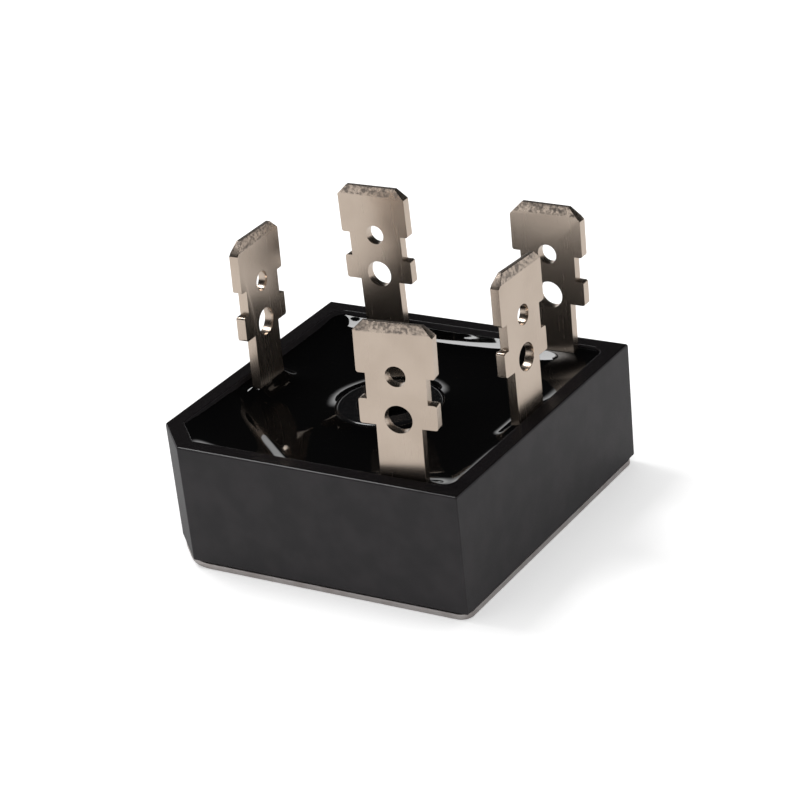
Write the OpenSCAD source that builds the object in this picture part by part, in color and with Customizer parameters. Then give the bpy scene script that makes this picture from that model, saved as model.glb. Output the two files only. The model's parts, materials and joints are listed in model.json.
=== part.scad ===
// Three-phase bridge rectifier: a square moulded case on a metal base plate, filled with resin,
// with five quick-connect tabs and a screw hole through its middle.
// The origin is the middle of the screw hole on the underside of the base plate, and +Z points
// to the tabs. The case's cut corner is at -X -Y and marks the side of the positive tab.

/* [Case] */
// Width of the square case across its open end
case_w = 28.5; // [27.5:0.5:34]
// Height of the rim above the underside of the base plate
rim_h = 10.6; // [10.2:0.1:13]
// Thickness of the case wall at the rim
wall_t = 1.4; // [1:0.1:1.6]
// How far each outer wall leans in from the rim to the base plate
draft = 0.09; // [0.02:0.01:0.3]
// Length cut off both sides of the marked corner
corner_cut = 3.45; // [2.5:0.05:4.5]
// Bevel along the rim's outer edge
rim_bevel = 0.12; // [0.05:0.01:0.3]
// Radius of the corners inside the case
cavity_r = 1.2; // [0.8:0.1:2]

/* [Base plate] */
// Thickness of the flange that shows below the case
flange_t = 0.5; // [0.4:0.05:1]
// Thickness of the whole plate, with the raised pad inside the case
plate_t = 2; // [1.6:0.1:2.6]
// Radius of the flange's right-angled corners
flange_r = 1; // [0.4:0.1:1.5]
// Radius of the flange where it runs into the cut corner
flange_cut_r = 3.5; // [1:0.5:5]
// How far the flange stays inside the foot of the case
flange_inset = 0.04; // [0:0.01:0.3]
// Gap between the raised pad and the case wall
pad_gap = 0.15; // [0.05:0.05:0.4]
// Thickness of the adhesive bead between the flange and the case
seal_t = 0.08; // [0.05:0.01:0.2]
// How far the bead stays back from both sides of the case wall
seal_inset = 0.2; // [0.1:0.05:0.35]

/* [Screw hole] */
// Diameter of the screw hole, a clearance hole for an M5 screw
screw_d = 5.3; // [4.4:0.1:5.6]
// Outer diameter of the moulded sleeve round the screw hole
sleeve_d = 8.8; // [7.6:0.1:9.2]
// Depth of the sleeve's top below the rim
sleeve_drop = 0.9; // [0.4:0.1:1.2]
// Radius of the sleeve's outer top edge
sleeve_r = 0.45; // [0.2:0.05:0.7]
// Depth of the seat for the sleeve in the base plate
sleeve_seat = 0.5; // [0.3:0.1:1]

/* [Tabs] */
// Thickness of the tab metal
tab_t = 0.8; // [0.6:0.05:0.9]
// Width of the blade
blade_w = 6.35; // [5.5:0.05:6.6]
// Height of the tips above the rim
tab_rise = 12.3; // [11:0.1:15]
// Length of the blade from its tip to the notches
blade_l = 4.15; // [3.8:0.05:5]
// Length of the bevels that lead the blade into a receptacle
lead_l = 0.75; // [0.5:0.05:1.5]
// Thickness of the blade at its tip
tip_t = 0.35; // [0.2:0.05:0.5]
// Radius that the die leaves on the outer corners of the blade and the lugs
stamp_r = 0.2; // [0.1:0.05:0.4]
// Width of the tab between its notches
notch_w = 4.9; // [4:0.1:5.4]
// Height of the notches
notch_l = 2.1; // [1.2:0.1:2.6]
// Width across the stop lugs below the notches
lug_w = 6.3; // [5.6:0.05:6.6]
// Height of the stop lugs
lug_l = 2.05; // [1.4:0.05:2.6]
// Width of the leg that goes down into the case
leg_w = 3.7; // [3.2:0.1:3.9]
// Diameter of the upper, detent hole
detent_d = 1.65; // [1.2:0.05:2]
// Distance of the detent hole from the tip
detent_from_tip = 4.2; // [3.4:0.1:4.6]
// Diameter of the lower, wire hole
wire_d = 2.25; // [1.6:0.05:2.6]
// Distance of the wire hole from the tip
wire_from_tip = 7.7; // [7:0.1:8]
// Inside radius of the fold between leg and foot
fold_r = 0.4; // [0.3:0.05:0.6]
// Length of the flat foot beyond the fold
foot_l = 3; // [2:0.1:3.2]
// Depth below the pool of resin at which the legs start to lean
bend_depth = 1; // [0.5:0.1:1.5]

/* [Tab places] */
// Gap between the positive tab and the case wall
positive_gap = 0.95; // [0.7:0.05:1.2]
// Offset of the positive tab along its wall
positive_off = 0.1; // [-0.5:0.1:0.5]
// Gap between the negative tab and the case wall
negative_gap = 0.13; // [0.1:0.01:0.6]
// Offset of the negative tab along its wall
negative_off = 0.4; // [-0.5:0.1:0.6]
// Gap between the first alternating current tab and the case wall
ac_1_gap = 0.4; // [0.35:0.05:0.8]
// Distance from the middle of the first alternating current tab to the right-hand case wall
ac_1_side = 4.35; // [4.05:0.05:5.35]
// Gap between the second alternating current tab and the case wall
ac_2_gap = 0.6; // [0.3:0.05:1]
// Offset of the second alternating current tab along its wall
ac_2_off = 7; // [6.6:0.1:7.4]
// Gap between the third alternating current tab and the case wall
ac_3_gap = 0.3; // [0.2:0.05:0.8]
// Distance from the middle of the third alternating current tab to the right-hand case wall
ac_3_side = 4.15; // [4.05:0.05:5.35]
// Twist, sideways lean and outward lean of the positive tab, in degrees
positive_set = [2.8, -1.4, -0.4]; // [-8:0.1:8]
// Twist, sideways lean and outward lean of the negative tab, in degrees
negative_set = [-1.8, 1.7, -0.9]; // [-8:0.1:8]
// Twist, sideways lean and outward lean of the first alternating current tab, in degrees
ac_1_set = [7.6, 1.4, -0.7]; // [-8:0.1:8]
// Twist, sideways lean and outward lean of the second alternating current tab, in degrees
ac_2_set = [0, 0.5, -0.6]; // [-8:0.1:8]
// Twist, sideways lean and outward lean of the third alternating current tab, in degrees
ac_3_set = [-0.5, -0.3, 0.7]; // [-8:0.1:8]
// Corners cut off the positive tab's tip, left and right as seen from outside
positive_cut = [0.7, 1]; // [0.4:0.05:1.4]
// Corners cut off the negative tab's tip
negative_cut = [1, 0.6]; // [0.4:0.05:1.4]
// Corners cut off the first alternating current tab's tip
ac_1_cut = [0.7, 0.85]; // [0.4:0.05:1.4]
// Corners cut off the second alternating current tab's tip
ac_2_cut = [0.85, 0.8]; // [0.4:0.05:1.4]
// Corners cut off the third alternating current tab's tip
ac_3_cut = [1.05, 1.05]; // [0.4:0.05:1.4]

/* [Inside] */
// Thickness of the ceramic sheet that insulates the base plate
ceramic_t = 0.63; // [0.4:0.01:1]
// Gap between the ceramic sheet and the case wall
ceramic_gap = 1; // [0.6:0.1:1.3]
// Thickness of every solder joint
solder_t = 0.1; // [0.05:0.01:0.15]
// How far the solder stays back from the edges of what it joins
solder_inset = 0.2; // [0.1:0.05:0.4]
// Thickness of the two direct current plates
plate_metal_t = 0.8; // [0.5:0.1:1]
// Gap between the direct current plates and the case wall
plate_gap = 1.45; // [1.4:0.05:1.7]
// Gap between the two direct current plates
plate_split = 1.4; // [1:0.1:1.8]
// Clearance of the ceramic and of the plates round the sleeve
sleeve_gap = 0.6; // [0.3:0.1:0.8]
// Width of each square silicon diode chip
chip_w = 3.2; // [2.6:0.1:3.3]
// Thickness of each diode chip
chip_t = 0.4; // [0.3:0.05:0.6]
// Thickness of the three alternating current bars
bar_t = 0.6; // [0.4:0.1:0.8]
// Width of the outer alternating current bars
bar_w = 3.4; // [3.3:0.1:3.6]
// Gap between two neighbouring bars
bar_gap = 0.4; // [0.3:0.05:0.6]
// How far the bars run on past a chip or a foot
bar_end = 0.2; // [0.1:0.05:0.3]

/* [Resin] */
// Depth of the resin's level middle below the rim
pool_depth = 1.6; // [1.5:0.1:2]
// Radius of the resin where it curves up to the walls
wall_curve_r = 4; // [2:0.5:5]
// How far the resin climbs the walls above the pool
wall_climb = 1.3; // [0.6:0.1:1.4]
// Radius of the resin where it curves up to the sleeve
sleeve_curve_r = 3.5; // [2:0.5:5]
// How far the resin climbs the sleeve above the pool
sleeve_climb = 0.55; // [0.2:0.05:0.6]
// Radius of the resin where it curves up to the legs of the tabs
leg_curve_r = 3; // [1.5:0.5:4]
// How far the resin climbs the legs above the pool
leg_climb = 0.8; // [0.4:0.1:1.2]
// Thickness of the resin's edge where it ends on what it has climbed
resin_lip = 0.12; // [0.1:0.01:0.2]

/* [Hidden] */
$fn = 64;

case_foot = flange_t + seal_t;
cavity_half = case_w / 2 - wall_t;
diagonal = sqrt(2);

// Levels that follow the rim
pool_h = rim_h - pool_depth;
sleeve_h = rim_h - sleeve_drop;
tip_h = rim_h + tab_rise;
bend_z = pool_h - bend_depth;
// Depth to which shapes that stand on the pool run on into it
root = 0.5;
// Angle at which the curved resin meets the pool
meet_angle = 6;

// Levels of the stack inside the case, from the base plate up
ceramic_z = plate_t + solder_t;
dc_plate_z = ceramic_z + ceramic_t + solder_t;
chip_z = dc_plate_z + plate_metal_t + solder_t;
bar_z = chip_z + chip_t + solder_t;
dc_foot_z = dc_plate_z + plate_metal_t + solder_t;
ac_foot_z = bar_z + bar_t + solder_t;

// Depths from the case's outer faces to the sheets inside
ceramic_inset = wall_t + ceramic_gap;
dc_plate_inset = wall_t + plate_gap;
stack_half = case_w / 2 - dc_plate_inset;
sleeve_clear_r = sleeve_d / 2 + sleeve_gap;

// Places of the bars and chips: an outer row along the front and back, and a middle row
outer_row_y = stack_half - bar_w / 2;
middle_edge_y = stack_half - bar_w - bar_gap;
middle_row_y = middle_edge_y - bar_end - chip_w / 2;
outer_chip_x = ac_2_off - leg_w / 2 - 2 * bar_end - bar_gap - chip_w / 2;
ac_1_off = cavity_half - ac_1_side;
ac_3_off = cavity_half - ac_3_side;
// The six chips, three on each direct current plate, paired by bar
CHIPS = [
    [-outer_chip_x, -outer_row_y], [-ac_2_off, middle_row_y], [-outer_chip_x, outer_row_y],
    [outer_chip_x, -outer_row_y], [ac_2_off, middle_row_y], [outer_chip_x, outer_row_y]
];

// Tab records: side of the case that it faces, gap to the wall, offset, set, foot level and cuts
FRONT = 0;
BACK = 180;
LEFT = -90;
RIGHT = 90;
POSITIVE = [LEFT, positive_gap, positive_off, positive_set, dc_foot_z, positive_cut];
NEGATIVE = [RIGHT, negative_gap, negative_off, negative_set, dc_foot_z, negative_cut];
AC_1 = [FRONT, ac_1_gap, ac_1_off, ac_1_set, ac_foot_z, ac_1_cut];
AC_2 = [BACK, ac_2_gap, ac_2_off, ac_2_set, ac_foot_z, ac_2_cut];
AC_3 = [BACK, ac_3_gap, -ac_3_off, ac_3_set, ac_foot_z, ac_3_cut];
TABS = [POSITIVE, NEGATIVE, AC_1, AC_2, AC_3];

// Length of the corner cut on an outline that lies a given depth inside the case
function cut_at(inset) = corner_cut - inset * (2 - diagonal);

// Square with the cut corner, a given depth inside the case's outer faces
module cut_square(inset) {
    h = case_w / 2 - inset;
    c = cut_at(inset);
    polygon([[-h + c, -h], [h, -h], [h, h], [-h, h], [-h, -h + c]]);
}

// The same square with its three right-angled corners rounded
module rounded_cut_square(inset, r) {
    h = case_w / 2 - inset;
    difference() {
        cut_square(inset);
        for (turn = [0, 90, 270])
            rotate(turn) translate([h - r, h - r]) difference() {
                square(2 * r);
                circle(r);
            }
    }
}

// Bar along Y with one or two leaning sides: the case's shape is where three of them cross
module leaning_bar(half_left, half_right) {
    rotate([90, 0, 0]) linear_extrude(2 * case_w, center = true) polygon([
        [-half_left + draft, case_foot], [half_right - draft, case_foot],
        [half_right, rim_h - rim_bevel], [half_right - rim_bevel, rim_h],
        [-half_left + rim_bevel, rim_h], [-half_left, rim_h - rim_bevel]
    ]);
}

module case() color([0.13, 0.13, 0.14]) difference() {
    intersection() {
        leaning_bar(case_w / 2, case_w / 2);
        rotate([0, 0, 90]) leaning_bar(case_w / 2, case_w / 2);
        rotate([0, 0, 45]) leaning_bar((case_w - corner_cut) / diagonal, case_w);
    }
    linear_extrude(rim_h + 1) rounded_cut_square(wall_t, cavity_r);
}

// What rounding takes off one end of the flange's cut corner
module flange_nick() {
    h = case_w / 2 - draft - flange_inset;
    c = cut_at(draft + flange_inset);
    reach = flange_cut_r * (diagonal - 1);
    middle = [reach + c - h, flange_cut_r - h];
    difference() {
        polygon([[c - h, -h], [reach + c - h, -h], middle, [c - h - reach / diagonal, reach / diagonal - h]]);
        translate(middle) circle(flange_cut_r);
    }
}

module flange_outline() difference() {
    rounded_cut_square(draft + flange_inset, flange_r);
    flange_nick();
    mirror([1, -1, 0]) flange_nick();
}

module base_plate() color([0.72, 0.70, 0.68]) difference() {
    union() {
        linear_extrude(flange_t) flange_outline();
        translate([0, 0, flange_t / 2]) linear_extrude(plate_t - flange_t / 2)
            rounded_cut_square(wall_t + pad_gap, cavity_r - pad_gap);
    }
    translate([0, 0, -1]) cylinder(h = plate_t + 2, d = screw_d);
    translate([0, 0, plate_t - sleeve_seat]) cylinder(h = plate_t, d = sleeve_d);
}

// Adhesive bead that holds the case on the flange
module base_seal() color([0.25, 0.25, 0.25]) translate([0, 0, flange_t])
    linear_extrude(seal_t) difference() {
        rounded_cut_square(draft + seal_inset, cavity_r);
        rounded_cut_square(wall_t - seal_inset, cavity_r);
    }

module sleeve_blank() rotate_extrude() union() {
    translate([0, plate_t - sleeve_seat])
        square([sleeve_d / 2, sleeve_h - sleeve_r - plate_t + sleeve_seat]);
    translate([0, sleeve_h - 2 * sleeve_r]) square([sleeve_d / 2 - sleeve_r, 2 * sleeve_r]);
    translate([sleeve_d / 2 - sleeve_r, sleeve_h - sleeve_r]) circle(sleeve_r);
}

module centre_sleeve() color([0.10, 0.10, 0.11]) difference() {
    sleeve_blank();
    cylinder(h = sleeve_h + 1, d = screw_d);
}

module ceramic_sheet() color([0.93, 0.92, 0.88]) translate([0, 0, ceramic_z])
    linear_extrude(ceramic_t) difference() {
        cut_square(ceramic_inset);
        circle(sleeve_clear_r);
    }

module ceramic_solder() color([0.62, 0.62, 0.60]) translate([0, 0, plate_t])
    linear_extrude(solder_t) difference() {
        cut_square(ceramic_inset + solder_inset);
        circle(sleeve_clear_r + solder_inset);
    }

// Outline of one direct current plate, side = -1 on the left and 1 on the right
module dc_outline(side, inset) difference() {
    cut_square(dc_plate_inset + inset);
    circle(sleeve_clear_r + inset);
    translate([side > 0 ? -case_w + plate_split / 2 + inset : -plate_split / 2 - inset, -case_w])
        square([case_w, 2 * case_w]);
}

module positive_plate() color([0.80, 0.50, 0.36]) translate([0, 0, dc_plate_z])
    linear_extrude(plate_metal_t) dc_outline(-1, 0);

module negative_plate() color([0.76, 0.47, 0.34]) translate([0, 0, dc_plate_z])
    linear_extrude(plate_metal_t) dc_outline(1, 0);

module plate_solder() color([0.62, 0.62, 0.60]) translate([0, 0, dc_plate_z - solder_t])
    linear_extrude(solder_t) {
        dc_outline(-1, solder_inset);
        dc_outline(1, solder_inset);
    }

module diode(i) color([0.30, 0.32, 0.38])
    translate([CHIPS[i - 1].x, CHIPS[i - 1].y, chip_z + chip_t / 2])
        cube([chip_w, chip_w, chip_t], center = true);

// One solder joint under and one over every chip
module chip_solder() color([0.62, 0.62, 0.60])
    for (p = CHIPS, z = [chip_z - solder_t / 2, chip_z + chip_t + solder_t / 2])
        translate([p.x, p.y, z])
            cube([chip_w - 2 * solder_inset, chip_w - 2 * solder_inset, solder_t], center = true);

module bar_run(x0, x1, y0, y1) translate([x0, y0, bar_z]) cube([x1 - x0, y1 - y0, bar_t]);

module outer_bar(side, foot_x) bar_run(
    -outer_chip_x - chip_w / 2 - bar_end, foot_x + leg_w / 2 + bar_end,
    side * outer_row_y - bar_w / 2, side * outer_row_y + bar_w / 2
);

module ac_bar_1() color([0.80, 0.50, 0.36]) outer_bar(-1, ac_1_off);

// Joins the middle pair of chips round the back of the sleeve, and runs out to the second tab
module ac_bar_2() color([0.80, 0.50, 0.36]) {
    pad = max(chip_w, leg_w) / 2 + bar_end;
    bar_run(-ac_2_off - pad, ac_2_off + pad, sleeve_clear_r, middle_edge_y);
    bar_run(-ac_2_off - pad, -ac_2_off + pad, middle_row_y - chip_w / 2 - bar_end, stack_half);
    bar_run(ac_2_off - pad, ac_2_off + pad, middle_row_y - chip_w / 2 - bar_end, middle_edge_y);
}

module ac_bar_3() color([0.80, 0.50, 0.36]) outer_bar(1, ac_3_off);

// Carries a shape from the foot of a tab, facing inwards, to its place on the case wall
module at_tab(tab) rotate([0, 0, tab[0]])
    translate([tab[2], tab[1] + tab_t / 2 - cavity_half, 0]) rotate([0, 0, tab[3].x])
        children();

// Upright rectangle round the tab's middle line, with its corners rounded by the stamping die
module stamped(w, z0, z1) translate([0, (z0 + z1) / 2]) {
    square([w, z1 - z0 - 2 * stamp_r], center = true);
    square([w - 2 * stamp_r, z1 - z0], center = true);
    for (x = [-1, 1], y = [-1, 1])
        translate([x * (w / 2 - stamp_r), y * ((z1 - z0) / 2 - stamp_r)]) circle(stamp_r);
}

// Outline of the stamped strip above the resin, from its leg to its tip
module tab_outline(cuts) {
    notch_z = tip_h - blade_l;
    lug_z = notch_z - notch_l;
    translate([-leg_w / 2, bend_z]) square([leg_w, lug_z - lug_l / 2 - bend_z]);
    stamped(lug_w, lug_z - lug_l, lug_z);
    translate([-notch_w / 2, lug_z - lug_l / 2]) square([notch_w, notch_l + lug_l]);
    difference() {
        stamped(blade_w, notch_z, tip_h);
        for (side = [0, 1])
            translate([(side - 0.5) * blade_w, tip_h]) rotate(45)
                square(cuts[side] * diagonal, center = true);
    }
}

// Side view of the strip, thinned at its tip
module tab_section() polygon([
    [-tab_t / 2, bend_z - root], [tab_t / 2, bend_z - root], [tab_t / 2, tip_h - lead_l],
    [tip_t / 2, tip_h], [-tip_t / 2, tip_h], [-tab_t / 2, tip_h - lead_l]
]);

// Carries a shape from the straight part of a tab to the part that leans
module leaning(tab) translate([0, 0, bend_z]) rotate([tab[3].z, tab[3].y, 0])
    translate([0, 0, -bend_z]) children();

// One tab, folded from strip: foot, fold, leg, stop lugs and blade with its two holes
module tab(tab) color([0.78, 0.75, 0.71]) at_tab(tab) {
    foot_z = tab[4];
    fold_z = foot_z + tab_t + fold_r;
    // foot
    translate([-leg_w / 2, tab_t / 2 + fold_r, foot_z]) cube([leg_w, foot_l, tab_t]);
    // fold
    translate([0, tab_t / 2 + fold_r, fold_z]) rotate([-90, 0, 0]) rotate([0, 90, 0])
        translate([0, 0, -leg_w / 2]) rotate_extrude(angle = 90)
            translate([fold_r, 0]) square([tab_t, leg_w]);
    // straight part of the leg inside the case
    translate([-leg_w / 2, -tab_t / 2, fold_z]) cube([leg_w, tab_t, bend_z - fold_z]);
    // part above, which leans a little
    leaning(tab) difference() {
        intersection() {
            rotate([90, 0, 0]) linear_extrude(2 * tab_t, center = true) tab_outline(tab[5]);
            rotate([90, 0, 90]) linear_extrude(2 * blade_w, center = true) tab_section();
        }
        translate([0, 0, tip_h - detent_from_tip]) rotate([90, 0, 0])
            cylinder(h = 2 * tab_t, d = detent_d, center = true);
        translate([0, 0, tip_h - wire_from_tip]) rotate([90, 0, 0])
            cylinder(h = 2 * tab_t, d = wire_d, center = true);
    }
}

module foot_solder() color([0.62, 0.62, 0.60]) for (t = TABS)
    at_tab(t) translate([solder_inset - leg_w / 2, tab_t / 2 + fold_r + solder_inset, t[4] - solder_t])
        cube([leg_w - 2 * solder_inset, foot_l - 2 * solder_inset, solder_t]);

// Middle of the arc that the resin curves up on: distance from what it climbs, and level
function arc_middle(r, climb) = [
    resin_lip + sqrt(pow(r, 2) - pow(r * cos(meet_angle) - climb, 2)), pool_h + r * cos(meet_angle)
];

// Hollow above the resin along Y, with its lower edges curving up to the walls
module trough(half_left, half_right) rotate([90, 0, 0]) linear_extrude(2 * case_w, center = true) {
    middle = arc_middle(wall_curve_r, wall_climb);
    intersection() {
        union() {
            translate([middle.x - half_left, 0])
                square([half_left + half_right - 2 * middle.x, 2 * rim_h]);
            translate([middle.x - half_left, middle.y]) circle(wall_curve_r);
            translate([half_right - middle.x, middle.y]) circle(wall_curve_r);
        }
        translate([-case_w, pool_h]) square([2 * case_w, rim_h]);
    }
}

module resin_hollow() intersection() {
    trough(cavity_half, cavity_half);
    rotate([0, 0, 90]) trough(cavity_half, cavity_half);
    rotate([0, 0, 45]) trough((case_w - corner_cut) / diagonal - wall_t, case_w);
}

// Half section of the resin that climbs a face on its left, from a root below the pool
module climbing(r, climb) {
    middle = arc_middle(r, climb);
    difference() {
        translate([-root, pool_h - root])
            square([root + middle.x - r * sin(meet_angle), root + climb]);
        translate(middle) circle(r);
    }
}

module sleeve_ring() rotate_extrude() translate([sleeve_d / 2, 0])
    climbing(sleeve_curve_r, sleeve_climb);

// Ridge of resin across a leg of a given thickness, curving up to both of its faces
module leg_ridge(thickness) rotate([90, 0, 0]) linear_extrude(case_w, center = true) {
    translate([-thickness / 2, pool_h - root]) square([thickness, root + leg_climb]);
    for (side = [0, 1]) mirror([side, 0, 0]) translate([thickness / 2, 0])
        climbing(leg_curve_r, leg_climb);
}

// Resin that climbs all four sides of a tab's leg
module leg_cove(tab) at_tab(tab) intersection() {
    leg_ridge(leg_w);
    rotate([0, 0, 90]) leg_ridge(tab_t);
}

module resin() color([0.04, 0.04, 0.05]) difference() {
    union() {
        difference() {
            translate([0, 0, plate_t]) linear_extrude(pool_h + wall_climb - plate_t)
                rounded_cut_square(wall_t, cavity_r);
            resin_hollow();
        }
        sleeve_ring();
        intersection() {
            translate([0, 0, plate_t]) linear_extrude(rim_h) rounded_cut_square(wall_t, cavity_r);
            union() for (t = TABS) leg_cove(t);
        }
    }
    sleeve_blank();
    ceramic_sheet();
    ceramic_solder();
    plate_solder();
    positive_plate();
    negative_plate();
    for (i = [1:6]) diode(i);
    chip_solder();
    ac_bar_1();
    ac_bar_2();
    ac_bar_3();
    foot_solder();
    for (t = TABS) tab(t);
}

case();
base_plate();
base_seal();
centre_sleeve();
ceramic_sheet();
ceramic_solder();
plate_solder();
positive_plate();
negative_plate();
for (i = [1:6]) diode(i);
chip_solder();
ac_bar_1();
ac_bar_2();
ac_bar_3();
foot_solder();
tab(POSITIVE);  // positive_tab
tab(NEGATIVE);  // negative_tab
tab(AC_1);  // ac_tab_1
tab(AC_2);  // ac_tab_2
tab(AC_3);  // ac_tab_3
resin();
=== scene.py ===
import json
import math

import bpy
import numpy as np
from mathutils import Matrix, Vector


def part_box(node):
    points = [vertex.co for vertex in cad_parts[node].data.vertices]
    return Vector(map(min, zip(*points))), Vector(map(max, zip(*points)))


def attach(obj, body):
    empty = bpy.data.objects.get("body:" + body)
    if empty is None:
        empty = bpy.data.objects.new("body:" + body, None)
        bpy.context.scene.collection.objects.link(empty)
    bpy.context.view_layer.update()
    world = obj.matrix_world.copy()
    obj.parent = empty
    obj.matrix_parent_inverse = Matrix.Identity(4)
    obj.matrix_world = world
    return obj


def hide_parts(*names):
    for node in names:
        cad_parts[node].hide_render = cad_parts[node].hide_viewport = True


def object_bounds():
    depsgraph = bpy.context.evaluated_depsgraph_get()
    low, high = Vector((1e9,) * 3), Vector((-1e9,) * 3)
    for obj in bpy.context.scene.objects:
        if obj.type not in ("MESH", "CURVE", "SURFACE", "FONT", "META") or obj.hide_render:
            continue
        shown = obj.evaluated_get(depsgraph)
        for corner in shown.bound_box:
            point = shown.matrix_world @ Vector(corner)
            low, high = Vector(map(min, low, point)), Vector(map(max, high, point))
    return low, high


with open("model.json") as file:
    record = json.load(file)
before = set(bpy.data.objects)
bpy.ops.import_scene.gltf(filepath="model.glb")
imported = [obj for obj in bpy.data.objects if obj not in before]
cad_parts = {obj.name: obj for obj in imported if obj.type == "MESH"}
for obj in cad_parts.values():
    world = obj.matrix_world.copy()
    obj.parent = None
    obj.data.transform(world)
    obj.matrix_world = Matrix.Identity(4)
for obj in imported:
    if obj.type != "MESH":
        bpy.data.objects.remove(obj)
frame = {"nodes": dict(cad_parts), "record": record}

cad_low, cad_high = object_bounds()


# --- Case ---------------------------------------------------------------------------------------
# The case is a square frame moulded in black filled plastic, open above and below, with one
# corner cut off. The mould leaves a fine, slightly uneven matt grain on its outside, and the
# resin's thin film leaves its rim smoother and darker.
MM = 0.001
nodes = frame["nodes"]
case_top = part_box("case")[1].z / MM


class Wire:
    """One socket or number in a tree of nodes. Sums and products of wires add Math nodes."""

    def __init__(self, tree, value=None):
        self.tree, self.value = tree, value

    def node(self, kind, settings=None, inputs=None, out=0):
        """Adds a shader node: its settings first, then the values or links of its sockets."""
        made = self.tree.nodes.new("ShaderNode" + kind)
        for name, value in (settings or {}).items():
            setattr(made, name, value)
        for name, value in (inputs or {}).items():
            link(self.tree, made.inputs[name], value)
        return Wire(self.tree, made.outputs[out])

    def math(self, operation, other):
        return self.node("Math", {"operation": operation}, {0: self, 1: other})

    def __add__(self, other): return self.math("ADD", other)
    def __radd__(self, other): return self.math("ADD", other)
    def __sub__(self, other): return self.math("SUBTRACT", other)
    def __rsub__(self, other): return Wire(self.tree, other).math("SUBTRACT", self)
    def __mul__(self, other): return self.math("MULTIPLY", other)
    def __rmul__(self, other): return self.math("MULTIPLY", other)

    def scaled(self, x, y, z):
        """This vector with its three parts multiplied."""
        return self.node("VectorMath", {"operation": "MULTIPLY"}, {0: self, 1: (x, y, z)})

    def up(self):
        """The third part of this vector."""
        return self.node("SeparateXYZ", None, {"Vector": self}, "Z")

    def noise(self, scale, detail=3.0, roughness=0.55):
        return self.node("TexNoise", None, {
            "Vector": self, "Scale": scale, "Detail": detail, "Roughness": roughness})

    def ramp(self, low, high):
        """0 below low, 1 above high, smooth between."""
        return self.node("MapRange", {"interpolation_type": "SMOOTHSTEP"}, {
            "Value": self, "From Min": low, "From Max": high})

    def mix(self, first, second):
        """Blends two colours by this mask, which is the Mix node's first socket."""
        factor, colour_a, colour_b, colour_out = 0, 6, 7, 2
        return self.node("Mix", {"data_type": "RGBA"}, {
            factor: self, colour_a: first, colour_b: second}, colour_out)

    def bump(self, strength, distance):
        return self.node("Bump", None, {
            "Height": self, "Strength": strength, "Distance": distance})


def link(tree, socket, value):
    """Puts a wire, a colour or a number on a socket."""
    if isinstance(value, Wire):
        value = value.value
    if isinstance(value, bpy.types.NodeSocket):
        tree.links.new(value, socket)
    elif isinstance(value, tuple) and socket.type == "RGBA":
        socket.default_value = (*value, 1.0)
    else:
        socket.default_value = value


def material(name, finish):
    """A material whose finish, a function of the place in millimetres, gives its sockets."""
    made = bpy.data.materials.new(name)
    made.use_nodes = True
    tree = made.node_tree
    shader = tree.nodes["Principled BSDF"]
    place = Wire(tree).node("TexCoord", out="Object").scaled(1 / MM, 1 / MM, 1 / MM)
    for socket, value in finish(place).items():
        link(tree, shader.inputs[socket], value)
    return made


def dress(node, made, ease=0.0):
    """Gives a CAD node a material, and eases its sharp edges by a radius in millimetres."""
    piece = nodes[node]
    piece.data.materials.clear()
    piece.data.materials.append(made)
    if ease:
        weld = piece.modifiers.new("joined", "WELD")
        weld.merge_threshold = 0.001 * MM
        flat = piece.modifiers.new("flat faces", "DECIMATE")
        flat.decimate_type = "DISSOLVE"
        flat.angle_limit = math.radians(0.2)
        soft = piece.modifiers.new("eased edges", "BEVEL")
        soft.limit_method = "ANGLE"
        soft.angle_limit = math.radians(25)
        soft.width = ease * MM
        soft.segments = 3
        even = piece.modifiers.new("flat faces shade flat", "WEIGHTED_NORMAL")
        even.mode = "FACE_AREA"
        even.weight = 100
        piece.data.shade_smooth()


def case_finish(place):
    grain = place.noise(scale=9.0, detail=4.0, roughness=0.6)
    cloud = place.noise(scale=0.35, detail=2.0)
    pits = place.noise(scale=26.0, detail=2.0)
    rim_face = place.up().ramp(case_top - 0.08, case_top - 0.02)
    plain = cloud.ramp(0.35, 0.7).mix((0.018, 0.0165, 0.018), (0.026, 0.023, 0.025))
    relief = (grain * 0.6 + pits * 0.4) * (1.0 - rim_face * 0.8)
    return {
        "Base Color": rim_face.mix(plain, (0.007, 0.006, 0.0065)),
        "Roughness": 0.42 + grain * 0.16 - rim_face * 0.32,
        "Specular IOR Level": 0.26,
        "Normal": relief.bump(strength=0.16, distance=0.02 * MM),
    }


dress("case", material("black_case_plastic", case_finish), ease=0.10)


# --- Base plate ---------------------------------------------------------------------------------
# The base plate is a flat square of aluminium, plated with nickel and left satin. Its blanked
# edge shows as a pale line under the case, and its underside has the faint lines of rolling.
def plate_finish(place):
    rolled = place.scaled(0.15, 6.0, 1.0).noise(scale=1.6, detail=4.0, roughness=0.6)
    stain = place.noise(scale=0.5)
    return {
        "Base Color": stain.ramp(0.3, 0.75).mix((0.50, 0.47, 0.46), (0.40, 0.36, 0.345)),
        "Metallic": 1.0,
        "Roughness": 0.34 + rolled * 0.14,
        "Normal": rolled.bump(strength=0.10, distance=0.01 * MM),
    }


dress("base_plate", material("satin_nickel_plate", plate_finish), ease=0.08)


# --- Sleeve -------------------------------------------------------------------------------------
# The sleeve is a moulded black tube that keeps the resin out of the screw hole. The resin wets
# its upper end, so it shines like the resin round it.
def sleeve_finish(place):
    flow = place.noise(scale=1.2, detail=2.0)
    return {
        "Base Color": (0.004, 0.004, 0.0045),
        "Roughness": 0.12 + flow * 0.10,
        "Normal": flow.bump(strength=0.05, distance=0.05 * MM),
    }


wetted_plastic = material("wetted_sleeve_plastic", sleeve_finish)
dress("centre_sleeve", wetted_plastic, ease=0.06)


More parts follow.
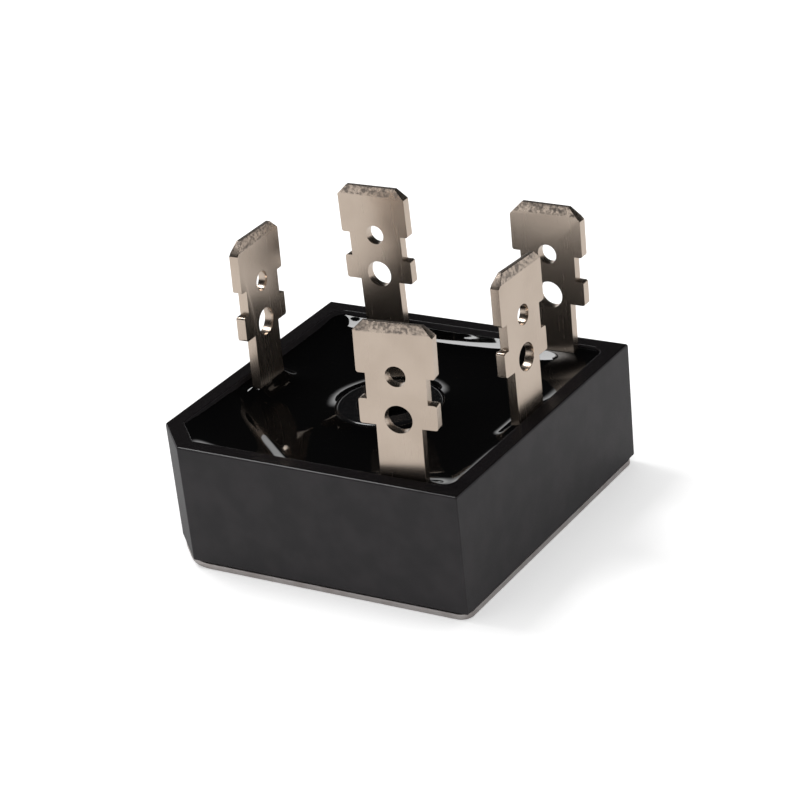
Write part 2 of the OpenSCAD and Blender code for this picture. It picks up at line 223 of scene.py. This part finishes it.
# --- Resin --------------------------------------------------------------------------------------
# Black resin is poured in round the tabs and cures with a glossy skin. It is level in the middle
# and climbs everything it wets: the walls up to just under the rim, the sleeve and the legs.
low, high = (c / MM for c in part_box("resin"))
half = high.x
sleeve_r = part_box("centre_sleeve")[1].x / MM
pool, pool_tilt = 9.0, 0.010
resin_lip = 0.12
cavity_r = 1.2
leg_w, leg_t = 3.7, 0.8
tabs = ["positive_tab", "negative_tab", "ac_tab_1", "ac_tab_2", "ac_tab_3"]
mounts = {m["name"]: m for m in frame["record"]["mounts"]}


def points(node):
    """A CAD node's points in millimetres."""
    return np.array([v.co for v in nodes[node].data.vertices]) / MM


# distance of the cut corner's inner face from the middle
cut = float(-points("resin")[:, :2].sum(axis=1).min() / math.sqrt(2))


def leg_of(tab):
    """Middle of a tab's leg at the resin, and the directions of its width and thickness."""
    co = points(tab)
    tip_ring = co[co[:, 2] > co[:, 2].max() - 0.4][:, :2]
    along = np.linalg.svd(tip_ring - tip_ring.mean(0))[2][0]
    mount = mounts[tab]
    place, axis = Vector(mount["pos_m"]) / MM, Vector(mount["axis"])
    foot = place + axis * ((pool - place.z) / axis.z)
    return np.array([foot.x, foot.y]), along, np.array([-along[1], along[0]])


legs = [leg_of(tab) for tab in tabs]


def leg_distance(x, y, leg):
    middle, along, across = leg
    dx, dy = x - middle[0], y - middle[1]
    u = np.abs(dx * along[0] + dy * along[1]) - leg_w / 2
    v = np.abs(dx * across[0] + dy * across[1]) - leg_t / 2
    return np.hypot(np.maximum(u, 0), np.maximum(v, 0))


def climbing(distance, height, reach):
    """How far the resin climbs at a distance from what it wets."""
    return height * np.exp(-np.maximum(distance, 0) / reach)


def resin_level(x, y):
    """Height of the resin: level in the middle, climbing whatever it wets."""
    back_reach = 0.70 + 0.45 * np.clip((x + 6) / 15, 0, 1)
    right_end = np.clip((y - 2) / 6, 0, 1)
    climb = climbing(half - x, 1.10 + 0.5 * right_end, 0.9 + 1.2 * right_end)
    climb += climbing(half + x, 1.20, 1.2)
    climb += climbing(half + y, 0.80, 0.6)
    climb += climbing(half - y, 1.35, back_reach)
    climb += climbing(cut + (x + y) / math.sqrt(2), 1.30, 1.3)
    climb += climbing(np.hypot(x, y) - sleeve_r, 0.60, 1.3)
    # the last of the pour stands a little higher in the cut corner, behind a sloping edge
    edge_w, edge_round = 0.95, 0.15
    inside = -(0.62 * x + 0.78 * y) - 10.1
    rise = np.hypot(inside, edge_round) - np.hypot(inside - edge_w, edge_round) + edge_w
    climb += 0.23 * rise
    for leg in legs:
        climb += climbing(leg_distance(x, y, leg), 1.05, 0.75)
    most = case_top - resin_lip - pool
    return pool + most * np.tanh(climb / most) + pool_tilt * x * np.exp(-climb)


def outline_reach(angle):
    """Distance from the middle to the inside wall in a direction, with rounded corners."""
    c, s = math.cos(angle), math.sin(angle)
    reach = min(half / max(abs(c), 1e-9), half / max(abs(s), 1e-9))
    if c + s < 0:
        reach = min(reach, cut * math.sqrt(2) / -(c + s))
    inner = half - cavity_r
    for sx, sy in ((1, 1), (1, -1), (-1, 1)):
        # past both ends of a corner's arc the wall is the arc itself
        if reach * c * sx > inner and reach * s * sy > inner:
            b = inner * (c * sx + s * sy)
            reach = b + math.sqrt(b * b - 2 * inner * inner + cavity_r ** 2)
    return reach


def resin_mesh():
    """Rings of points from the sleeve to the walls, closed by the walls and the underside."""
    turns, rings = 480, 110
    angles = [2 * math.pi * i / turns for i in range(turns)]
    reach = np.array([outline_reach(a) for a in angles])
    t = np.linspace(0, 1, rings)
    t = 0.5 * t + 0.5 * (1 - np.cos(math.pi * t)) / 2
    radius = sleeve_r + t[:, None] * (reach - sleeve_r)[None, :]
    x, y = radius * np.cos(angles), radius * np.sin(angles)
    verts = list(zip(x.ravel(), y.ravel(), resin_level(x, y).ravel()))
    verts += list(zip(x[-1], y[-1], [low.z] * turns))
    verts += list(zip(x[0], y[0], [low.z] * turns))
    top, foot, inner = ((rings + k) * turns for k in (-1, 0, 1))
    faces = []
    for i in range(turns):
        j = (i + 1) % turns
        for a in range(0, top, turns):
            b = a + turns
            faces.append((a + i, b + i, b + j, a + j))
        faces.append((top + i, foot + i, foot + j, top + j))
        faces.append((foot + i, inner + i, inner + j, foot + j))
        faces.append((inner + i, i, j, inner + j))
    mesh = bpy.data.meshes.new("potting_resin")
    mesh.from_pydata([tuple(c * MM for c in v) for v in verts], [], faces)
    mesh.shade_smooth()
    return mesh


def resin_finish(place):
    ripple = place.noise(scale=0.55, detail=2.0, roughness=0.5)
    dust = place.noise(scale=14.0).ramp(0.66, 0.78)
    return {
        "Base Color": (0.0010, 0.0010, 0.0011),
        "Roughness": 0.035 + dust * 0.10,
        "Normal": ripple.bump(strength=0.05, distance=0.10 * MM),
    }


resin = bpy.data.objects.new("potting_resin", resin_mesh())
bpy.context.scene.collection.objects.link(resin)
resin.data.materials.append(material("black_potting_resin", resin_finish))
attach(resin, "root")
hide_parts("resin")


# --- Tabs ---------------------------------------------------------------------------------------
# The five tabs are stamped and folded from one thickness of brass strip and plated with nickel.
# Stamping rounds their edges, rolling leaves fine lines up the blade, and the lead-in bevels at
# their tips are coined, so they are rougher; their colour there is painted darker in blotches as
# painted shade.
tip = cad_high.z / MM
lead_l = 0.75


def tab_finish(place):
    rolled = place.scaled(5.0, 5.0, 0.12).noise(scale=1.4, roughness=0.5)
    cloud = place.noise(scale=0.30, detail=2.0)
    lead_in = place.up().ramp(tip - lead_l - 0.10, tip - lead_l + 0.05)
    coined_and_shaded = lead_in * place.noise(scale=3.2, detail=4.0, roughness=0.7).ramp(0.40, 0.62)
    plated = cloud.ramp(0.3, 0.7).mix((0.57, 0.475, 0.395), (0.52, 0.43, 0.355))
    return {
        # painted shade: the coined lead-in bevels are painted darker in blotches, standing in for
        # the dark they reflect
        "Base Color": (coined_and_shaded * 0.8).mix(plated, (0.15, 0.13, 0.12)),
        "Metallic": 1.0,
        "Roughness": 0.24 + rolled * 0.05 + coined_and_shaded * 0.25,
        "Normal": (rolled * 0.5 + coined_and_shaded).bump(strength=0.05, distance=0.02 * MM),
    }


nickel = material("nickel_plated_tab", tab_finish)
for tab in tabs:
    dress(tab, nickel, ease=0.07)


# --- Inside -------------------------------------------------------------------------------------
# Six silicon chips stand between two copper plates and three copper bars, on a ceramic sheet
# that is soldered to the base plate. The resin hides all of it.
def copper_finish(place):
    rolled = place.scaled(0.3, 5.0, 1.0).noise(scale=1.5)
    cloud = place.noise(scale=0.6)
    return {
        "Base Color": cloud.ramp(0.3, 0.7).mix((0.76, 0.40, 0.26), (0.62, 0.30, 0.19)),
        "Metallic": 1.0,
        "Roughness": 0.28 + rolled * 0.15,
    }


def solder_finish(place):
    cloud = place.noise(scale=2.5)
    return {
        "Base Color": cloud.mix((0.52, 0.52, 0.52), (0.40, 0.40, 0.41)),
        "Metallic": 1.0,
        "Roughness": 0.35 + cloud * 0.2,
    }


def ceramic_finish(place):
    grain = place.noise(scale=6.0, detail=4.0)
    return {
        "Base Color": grain.mix((0.86, 0.85, 0.80), (0.80, 0.79, 0.75)),
        "Roughness": 0.42 + grain * 0.12,
    }


def silicon_finish(place):
    cloud = place.noise(scale=1.5, detail=2.0)
    return {
        "Base Color": cloud.mix((0.16, 0.17, 0.20), (0.22, 0.23, 0.27)),
        "Metallic": 0.6,
        "Roughness": 0.15 + cloud * 0.1,
    }


def bead_finish(place):
    cloud = place.noise(scale=2.0, detail=2.0)
    return {
        "Base Color": cloud.mix((0.02, 0.02, 0.02), (0.035, 0.035, 0.035)),
        "Roughness": 0.6 + cloud * 0.2,
    }


copper = material("rolled_copper", copper_finish)
for name in ("positive_plate", "negative_plate", "ac_bar_1", "ac_bar_2", "ac_bar_3"):
    dress(name, copper)
solder = material("dull_solder", solder_finish)
for name in ("ceramic_solder", "plate_solder", "chip_solder", "foot_solder"):
    dress(name, solder)
silicon = material("silicon_chip", silicon_finish)
for i in range(1, 7):
    dress(f"diode_{i}", silicon)
dress("ceramic_sheet", material("white_alumina", ceramic_finish))
dress("base_seal", material("adhesive_bead", bead_finish))


# --- Table --------------------------------------------------------------------------------------
# The part stands on a wide white table of matt laminate, which shows its soft shadow.
table_w, table_drop = 3.0, 0.00002
scene = bpy.context.scene
mesh = bpy.data.meshes.new("table_top")
edge = table_w / 2
mesh.from_pydata(
    [(-edge, -edge, 0), (edge, -edge, 0), (edge, edge, 0), (-edge, edge, 0)],
    [], [(0, 1, 2, 3)])
table = bpy.data.objects.new("table_top", mesh)
table.location.z = -table_drop
scene.collection.objects.link(table)


def table_finish(place):
    camera_ray = place.node("LightPath", out="Is Camera Ray")
    return {
        "Base Color": (0.90, 0.90, 0.90),
        "Roughness": 0.9,
        "Specular IOR Level": 0.0,
        "Emission Color": camera_ray.mix((0.0, 0.0, 0.0), (0.30, 0.30, 0.30)),
        "Emission Strength": 1.0,
    }


table.data.materials.append(material("white_table", table_finish))


# --- Light --------------------------------------------------------------------------------------
# One soft square lamp hangs above and to the left. The room is white at the table's height and
# dark in reflections from a little above it, so the level resin stays black and only what
# slopes picks up light.
scene.view_settings.view_transform = "Standard"
world = bpy.data.worlds.new("studio")
scene.world = world
world.use_nodes = True
tree = world.node_tree
background = tree.nodes["Background"]
seen = (Wire(tree).node("LightPath", out="Is Camera Ray")
        + Wire(tree).node("LightPath", out="Is Transmission Ray"))
mirrored = Wire(tree).node("LightPath", out="Is Glossy Ray")
way_up = Wire(tree).node("TexCoord", out="Generated").up()
white_to, dark_from, dark = 0.11, 0.25, 0.012
room = (1.0 - way_up.ramp(white_to, dark_from)) + dark
fill = 0.78
link(tree, background.inputs["Color"], (1.0, 1.0, 1.0))
link(tree, background.inputs["Strength"],
     seen + (1.0 - seen) * (mirrored * room + (1.0 - mirrored) * fill))

lamp_data = bpy.data.lights.new("soft_top", "AREA")
lamp_data.shape = "SQUARE"
lamp_data.size = 0.15
lamp_data.energy = 0.75
lamp = bpy.data.objects.new("soft_top", lamp_data)
lamp.location = (-0.22, 0.02, 0.40)
lamp_way = Vector((0, 0, 0.01)) - lamp.location
lamp.rotation_euler = lamp_way.to_track_quat("-Z", "Y").to_euler()
scene.collection.objects.link(lamp)


# --- Camera -------------------------------------------------------------------------------------
# The camera stands to the right of the front, a little rolled, and looks down at the open side
# of the case from a short distance.
azimuth, elevation, roll = (math.radians(v) for v in (33.05, 25.07, -6.21))
distance = 0.22328
aim = Vector((0.0, 0.0, 0.0098))
aside, above = 0.00085, 0.00003
back = Vector((math.sin(azimuth) * math.cos(elevation),
               -math.cos(azimuth) * math.cos(elevation), math.sin(elevation)))
flat_right = Vector((math.cos(azimuth), math.sin(azimuth), 0))
flat_up = back.cross(flat_right)
right = math.cos(roll) * flat_right + math.sin(roll) * flat_up
up = -math.sin(roll) * flat_right + math.cos(roll) * flat_up
turned = Matrix((right, up, back)).transposed().to_4x4()
turned.translation = aim + right * aside + up * above + back * distance
camera = bpy.data.objects.new("camera", bpy.data.cameras.new("camera"))
camera.data.lens = 125.97
camera.data.sensor_width = 36.0
camera.data.clip_start = 0.01
camera.matrix_world = turned
scene.collection.objects.link(camera)
scene.camera = camera
